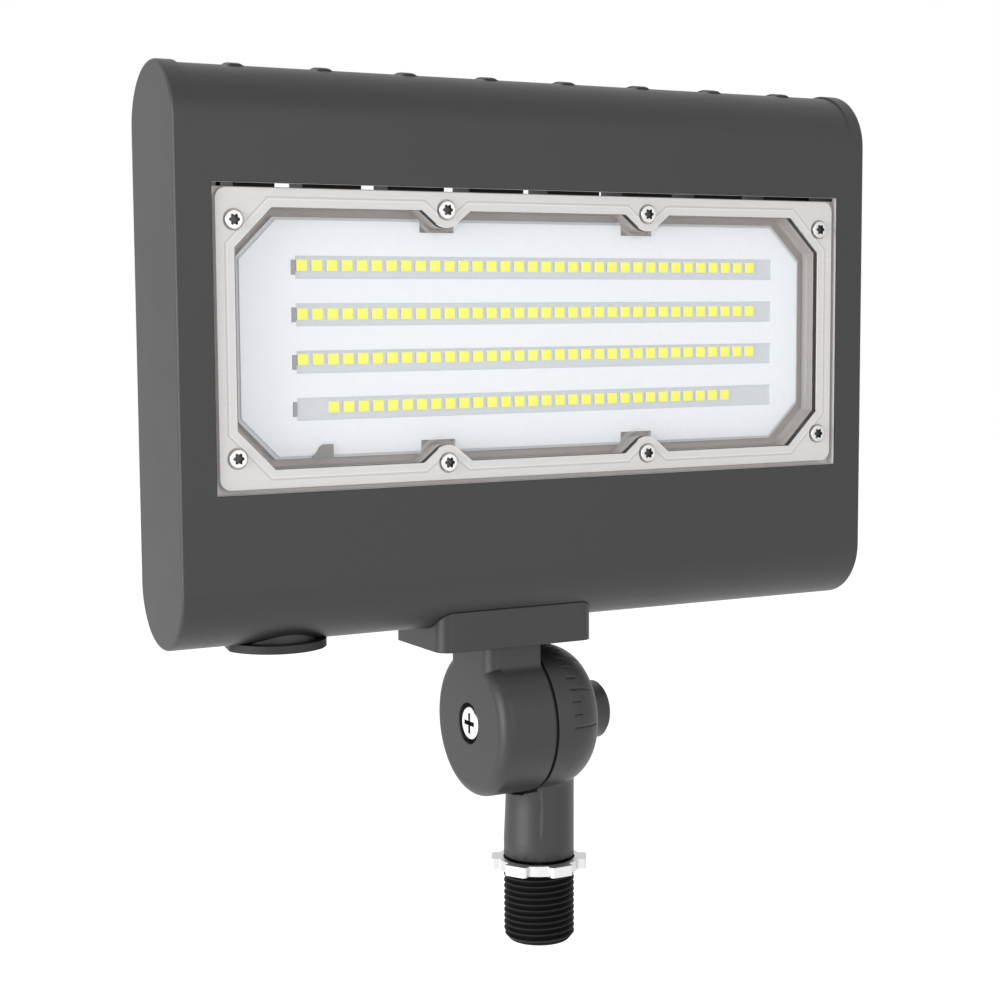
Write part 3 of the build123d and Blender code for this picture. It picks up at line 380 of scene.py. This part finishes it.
def plated(name, color, roughness, hollow=None):
    """Plated metal: bright, with faint cloudiness. A hollow is a mask of recesses where shade is
    painted in as a dark, less metallic colour.
    """
    finish = Finish(name)
    spot, x, y, z = finish.place()
    cloud = finish.noise(spot, CLOUD_SCALE, 3.0)
    tone = finish.mix(cloud, tuple(channel * 0.92 for channel in color), color)
    metal = 1.0
    if hollow:
        # Painted shade: inside the recess the colour turns dark and less metallic.
        depth = hollow(x, y, z)
        tone = finish.mix(depth, tone, RECESS_SHADE)
        metal = 1 - depth * 0.6
    return finish.surface({
        "Base Color": tone,
        "Metallic": metal,
        "Roughness": roughness + cloud * 0.1,
        "Normal": finish.node("ShaderNodeBevel", {"samples": 4}, {"Radius": SCREW_EDGE}),
    })


black_rubber = moulded("black_rubber", (0.012, 0.012, 0.012), 0.7)
zinc = plated("zinc_plate", (0.86, 0.86, 0.86), 0.22)
dress("back_cover", paint)
dress("cover_gasket", black_rubber)
dress("cover_screws", zinc)


# Driver: a potted supply in a white moulded case, screwed to two bosses in the chamber.
dress("led_driver", moulded("driver_case", (0.75, 0.75, 0.73), 0.5))
dress("driver_screws", zinc)


# LED board: aluminium-cored, under white solder mask, with four rows of packages whose
# tops are yellow phosphor in white frames, and grey end blocks.
dress("led_board", moulded("white_solder_mask", (0.66, 0.69, 0.73), 0.35, 0.03))
dress("board_screws", zinc)
dress("row_connectors", moulded("end_block_plastic", (0.3, 0.3, 0.3), 0.5))
PACKAGE_FRAME = (0.85, 0.86, 0.84)
PHOSPHOR_DIM = (0.95, 0.95, 0.07)
PHOSPHOR = (1.0, 1.0, 0.1)
FACING_FRONT = -0.5
finish = Finish("yellow_phosphor")
spot, *_ = finish.place()
facing = finish.node("ShaderNodeSeparateXYZ", None,
                     {0: finish.node("ShaderNodeNewGeometry", out="Normal")}, out="Y")
gel = finish.noise(spot, SKIN_SCALE)
top = finish.mix(gel, PHOSPHOR_DIM, PHOSPHOR)
dress("led_packages", finish.surface({
    "Base Color": finish.mix(facing < FACING_FRONT, PACKAGE_FRAME, top),
    "Roughness": 0.45 + gel * 0.1,
}))


# Reflector sheet: a matt white plastic sheet with a slot for each row, and the small dark
# grey cap over the supply leads in its lower left corner.
dress("reflector_sheet", moulded("white_sheet", (0.915, 0.945, 0.985), 0.55, 0.03))
dress("lead_cover", moulded("lead_cap_plastic", (0.205, 0.2, 0.19), 0.5))


# Lens: one clear polycarbonate moulding. Its thick flange scatters light and looks milky,
# with the gasket as a thin line in it; the window and the skirt behind it are clear.
BAND_X = 0.0063
BAND_Z = 0.0062
CORNER = 0.0104
BOSS_X = 0.0324
BOSS_Z = 0.03432
BOSS_ROUND = 0.00482
BOSS_FLANK = 0.0074
BOSS_SLOPE = 0.818
FLANK_SHARE = 0.774
BOSS_FOOT = 0.00373
GASKET_LINE = 0.00255
LINE_HALF = 0.00025
GLINT_IN = 0.0005
GLINT_HALF = 0.0002
SKIRT_IN = 0.002
SKIRT_OUT = 0.0006
SKIRT_BACK = 0.0034
STREAKS = (30.0, 30.0, 260.0)
CLEAR = (0.96, 0.97, 0.98)
MILK_DIM = (0.68, 0.66, 0.65)
MILK_PALE = (0.76, 0.74, 0.735)
LINE_TONE = (0.42, 0.40, 0.395)
GLINT_TONE = (0.95, 0.94, 0.93)
HALF_X = WINDOW_WIDE / 2 - BAND_X
HALF_Z = WINDOW_HIGH / 2 - BAND_Z


def beyond_window(x, z):
    """Distance outside the clear window's outline, in metres; less than 0 inside it."""
    across = abs(x - WINDOW_X)
    upward = abs(z - WINDOW_Z)
    edges = (across - HALF_X) | (upward - HALF_Z)
    cut = (across + upward - (HALF_X + HALF_Z - CORNER)) * math.sqrt(0.5)
    aside = abs(across - BOSS_X)
    boss = BOSS_ROUND - (aside ** 2.0 + (upward - BOSS_Z) ** 2.0) ** 0.5
    flank = (upward - HALF_Z + (BOSS_FLANK - aside) * BOSS_SLOPE) * FLANK_SHARE
    foot = upward - (BOSS_Z - BOSS_FOOT)
    return edges | cut | boss | (flank & foot)


finish = Finish("clear_plastic")
spot, x, y, z = finish.place()
beyond = beyond_window(x, z)
flange = beyond > 0.0
skirt = (beyond > -SKIRT_IN) * (beyond < -SKIRT_OUT) * (y > FRONT_Y + SKIRT_BACK)
line = abs(beyond - GASKET_LINE) < LINE_HALF
glint = abs(beyond - GASKET_LINE + GLINT_IN) < GLINT_HALF
streak = finish.noise(finish.node("ShaderNodeMapping", None,
                                  {"Vector": spot, "Scale": STREAKS}), 6.0, 3.0)
milk = finish.mix(streak, MILK_DIM, MILK_PALE)
milk = finish.mix(line * 0.45, milk, LINE_TONE)
milk = finish.mix(glint * 0.3, milk, GLINT_TONE)
dress("lens", finish.surface({
    "Base Color": finish.mix(flange, CLEAR, milk),
    "Roughness": 0.06 + flange * 0.22,
    "IOR": 1.55,
    "Alpha": 0.05 + flange * 0.87 + skirt * 0.06,
}))
dress("lens_gasket", moulded("grey_gasket", (0.45, 0.44, 0.43), 0.6))


# Lens screws: eight zinc-plated screws whose six-lobe recesses get painted shade, a dark colour.
LENS_SCREW_X = 0.09385
LENS_SCREW_Z = 0.0308
STAR = 0.0017
HEAD_FACE = FRONT_Y + 0.0002


def star_recess_shade(x, y, z):
    """Inside the recess of one of the eight screws, where shade is painted dark."""
    across = abs(x - WINDOW_X)
    upward = abs(z - WINDOW_Z)
    corner = ((across - LENS_SCREW_X) ** 2.0 + (upward - LENS_SCREW_Z) ** 2.0) ** 0.5
    middle = ((across - BOSS_X) ** 2.0 + (upward - BOSS_Z) ** 2.0) ** 0.5
    return ((corner & middle) < STAR) * (y > HEAD_FACE)


dress("lens_screws", plated("star_screw_zinc", (0.62, 0.615, 0.61), 0.28, star_recess_shade))


# Port plug: a black moulded plug screwed up into the round boss under the housing, with
# its seal and its steel nut inside.
dress("port_plug", moulded("black_plug_plastic", (0.005, 0.005, 0.005), 0.6))
dress("port_plug_seal", black_rubber)
dress("port_plug_nut", zinc)


# Upper knuckle: plate, neck and disc in one painted casting, on a black gasket under the
# housing, held by four screws from inside it.
dress("upper_knuckle", paint)
dress("saddle_gasket", black_rubber)
dress("saddle_screws", zinc)


# Clamp screw: it draws the two discs together across the seal. Its bright head, with shade
# painted dark into its cross recess, sits in the left disc, and its nut in the right boss.
PIVOT_Z = 0.0416
CROSS_REACH = 0.0033
HOLLOW_START = 0.0002
HOLLOW_END = 0.0022
screw_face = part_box("clamp_screw")[0].x


def cross_recess_shade(x, y, z):
    """Inside the cross recess of the clamp screw, where shade is painted dark."""
    from_axis = (y ** 2.0 + (z - PIVOT_Z) ** 2.0) ** 0.5
    between = (x > screw_face + HOLLOW_START) * (x < screw_face + HOLLOW_END)
    return between * (from_axis < CROSS_REACH)


dress("clamp_screw", plated("clamp_screw_zinc", (0.92, 0.92, 0.92), 0.18, cross_recess_shade))
dress("clamp_washer", zinc)
dress("clamp_nut", zinc)
dress("knuckle_seal", black_rubber)


# Lower knuckle: disc, domed cap and stem in one painted casting, kept from the solid down
# to the relief groove. Below that the pipe thread is cut as one right-handed helix, and
# its colour is painted shade, near black, with a painted highlight along the crests.
GROOVE_END = -0.0015
THREAD_END = -0.0257
CHAMFER_TOP = -0.02359
BLANK = 0.01075
PITCH = 0.0018143
CREST = 0.01045
ROOT = 0.00935
TIP = 0.0089
BORE = 0.007
RISE = 0.000657
LAND = 0.0003
TURNS = 17
TURNS_TO_CREST = 15
WINDING_STEPS = 96
BLANK_SIDES = 96
DRILL_SIDES = 64
MERGE = 1e-6
SEAM_MERGE = 2e-6
CREST_HIGHLIGHT_BAND = 0.00008
FACING = math.radians(-119.7)
CREST_AT = -0.002307


def edit(piece):
    """Opens one piece alone in edit mode with nothing selected."""
    bpy.ops.object.select_all(action="DESELECT")
    piece.select_set(True)
    bpy.context.view_layer.objects.active = piece
    bpy.ops.object.mode_set(mode="EDIT")
    bpy.ops.mesh.select_all(action="DESELECT")


def trim(height, above):
    """Cuts off what lies above or below a height and closes the cut."""
    bpy.ops.mesh.select_all(action="SELECT")
    bpy.ops.mesh.bisect(plane_co=(0, 0, height), plane_no=(0, 0, 1), use_fill=True,
                        clear_outer=above, clear_inner=not above)


def cut(tool, operation):
    """Cuts the thread with a closed tool, which is then dropped."""
    cutting = thread.modifiers.new("cutting", "BOOLEAN")
    cutting.operation = operation
    cutting.solver = "EXACT"
    cutting.object = tool
    bpy.ops.object.select_all(action="DESELECT")
    thread.select_set(True)
    bpy.context.view_layer.objects.active = thread
    bpy.ops.object.modifier_apply(modifier=cutting.name)
    bpy.data.objects.remove(tool)


casting = bpy.data.objects.new("knuckle_casting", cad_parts["lower_knuckle"].data.copy())
bpy.context.scene.collection.objects.link(casting)
edit(casting)
bpy.ops.mesh.select_all(action="SELECT")
bpy.ops.mesh.remove_doubles(threshold=MERGE)
trim(GROOVE_END, False)
bpy.ops.object.mode_set(mode="OBJECT")
casting.data.materials.clear()
casting.data.materials.append(paint)
bpy.ops.object.shade_smooth_by_angle(angle=math.radians(25))
evened = casting.modifiers.new("evened", "WEIGHTED_NORMAL")
evened.keep_sharp = True
bpy.ops.object.modifier_apply(modifier=evened.name)

bpy.ops.object.select_all(action="DESELECT")
start = CREST_AT - TURNS_TO_CREST * PITCH - LAND / 2 - RISE - (math.pi + FACING) / math.tau * PITCH
bpy.ops.mesh.primitive_plane_add(size=0.001, location=(0, 0, 0))
thread = bpy.context.object
thread.name = "pipe_thread"
bpy.ops.object.mode_set(mode="EDIT")
bpy.ops.mesh.merge(type="CENTER")
bpy.ops.transform.translate(value=(-ROOT, 0, start))
for step in ((CREST - ROOT, RISE), (0, LAND), (ROOT - CREST, RISE),
             (0, PITCH - LAND - 2 * RISE)):
    bpy.ops.mesh.extrude_vertices_move(TRANSFORM_OT_translate={"value": (-step[0], 0, step[1])})
bpy.ops.object.mode_set(mode="OBJECT")
winding = thread.modifiers.new("winding", "SCREW")
winding.axis = "Z"
winding.screw_offset = PITCH
winding.iterations = TURNS
winding.steps = WINDING_STEPS
winding.render_steps = WINDING_STEPS
winding.use_merge_vertices = True
winding.merge_threshold = MERGE
bpy.ops.object.modifier_apply(modifier=winding.name)
edit(thread)
bpy.ops.mesh.select_all(action="SELECT")
bpy.ops.mesh.remove_doubles(threshold=SEAM_MERGE)
trim(GROOVE_END, True)
trim(THREAD_END, False)
bpy.ops.mesh.select_all(action="SELECT")
bpy.ops.mesh.normals_make_consistent(inside=False)
bpy.ops.object.mode_set(mode="OBJECT")

bpy.ops.object.select_all(action="DESELECT")
bpy.ops.mesh.primitive_cylinder_add(vertices=BLANK_SIDES, radius=BLANK, depth=-THREAD_END,
                                    location=(0, 0, THREAD_END / 2))
blank = bpy.context.object
bpy.ops.object.transform_apply(location=True, rotation=False, scale=False)
edit(blank)
bpy.ops.mesh.select_all(action="SELECT")
bpy.ops.mesh.bisect(plane_co=(0, 0, CHAMFER_TOP), plane_no=(0, 0, 1))
bpy.ops.mesh.select_all(action="DESELECT")
bpy.ops.object.mode_set(mode="OBJECT")
for point in blank.data.vertices:
    point.select = point.co.z < THREAD_END + 1e-5
bpy.ops.object.mode_set(mode="EDIT")
share = TIP / BLANK
bpy.ops.transform.resize(value=(share, share, 1), center_override=(0, 0, THREAD_END))
bpy.ops.object.mode_set(mode="OBJECT")
cut(blank, "INTERSECT")
bpy.ops.object.select_all(action="DESELECT")
bpy.ops.mesh.primitive_cylinder_add(vertices=DRILL_SIDES, radius=BORE, depth=-3 * THREAD_END)
cut(bpy.context.object, "DIFFERENCE")
bpy.ops.object.shade_smooth_by_angle(angle=math.radians(30))

# Painted shade: the thread is coloured near black in place of the shadow in its grooves, with
# random mottle, and a band at the crests is a lighter painted highlight.
THREAD_SHADE_DEEP = (0.003, 0.003, 0.003)
THREAD_SHADE = (0.006, 0.006, 0.006)
CREST_HIGHLIGHT = (0.018, 0.018, 0.018)
finish = Finish("cut_thread")
spot, x, y, z = finish.place()
radius = (x ** 2.0 + y ** 2.0) ** 0.5
lit_crest = radius > CREST - CREST_HIGHLIGHT_BAND
thread_mottle = finish.noise(spot, 500.0, 3.0)
thread.data.materials.clear()
thread.data.materials.append(finish.surface({
    "Base Color": finish.mix(lit_crest, finish.mix(thread_mottle, THREAD_SHADE_DEEP, THREAD_SHADE), CREST_HIGHLIGHT),
    "Roughness": 0.55 + thread_mottle * 0.15,
    "Specular IOR Level": 0.12,
    "Normal": finish.bump(thread_mottle, 0.1, 0.0001),
}))
for piece in (casting, thread):
    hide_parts("lower_knuckle")
    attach(piece, "base")


# Locknut: bright die-cast zinc with square lugs, run up the thread by hand.
dress("locknut", plated("cast_zinc", (0.66, 0.66, 0.66), 0.35))
